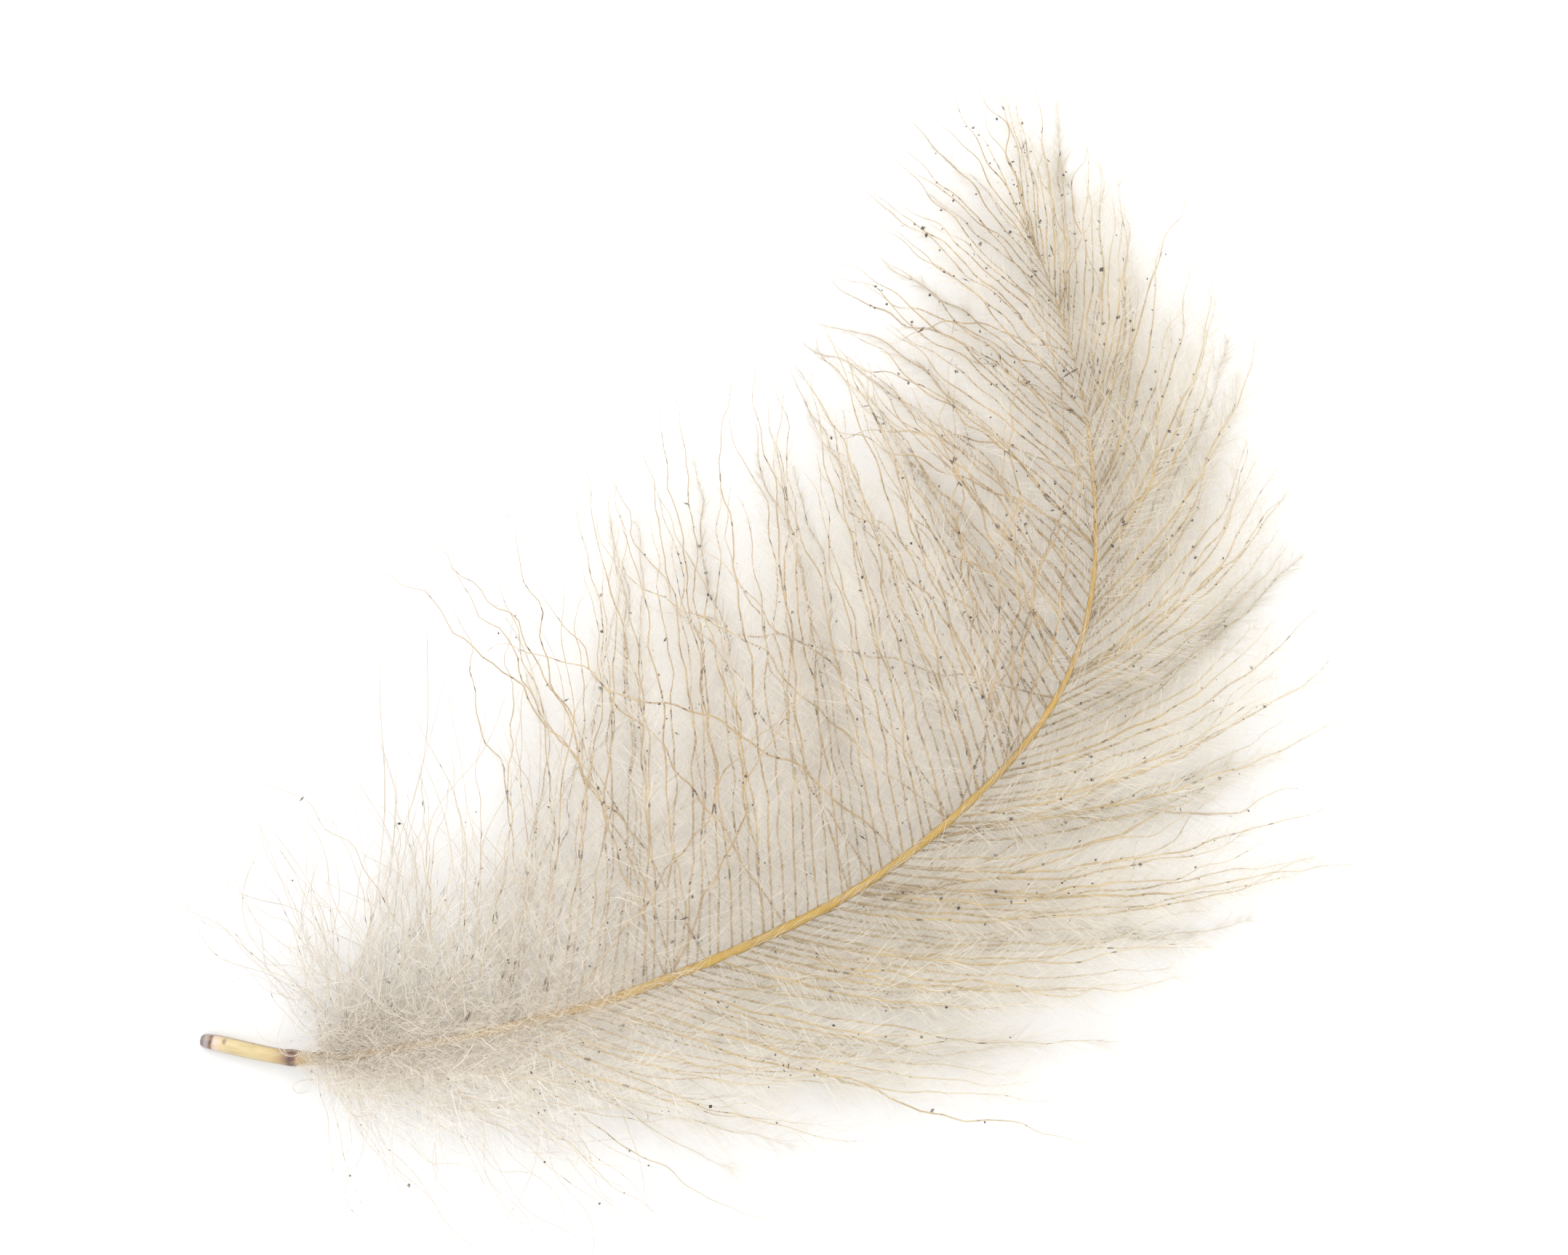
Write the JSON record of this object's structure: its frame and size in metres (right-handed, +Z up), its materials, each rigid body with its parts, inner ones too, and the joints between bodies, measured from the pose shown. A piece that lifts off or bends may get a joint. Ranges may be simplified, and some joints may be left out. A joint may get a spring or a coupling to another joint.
{
  "type": "cul de canard feather",
  "caption": "Small downy duck feather lying flat: a short hollow quill, a bowed tapering shaft and loose open barbs on both sides.",
  "frame": {"origin": "on the surface that the feather lies on, under the middle of its bounding box", "axes": "+X from the quill's cut end towards the tip, +Y towards the inside of the shaft's bow, +Z up from the surface that it lies on"},
  "size_m": [0.044, 0.0286, 0.005],
  "materials": {
    "feather": "matt pale tan down, with a satin gold shaft and a cream quill"
  },
  "bodies": {
    "root": {"feather": "feather"}
  },
  "joints": []
}
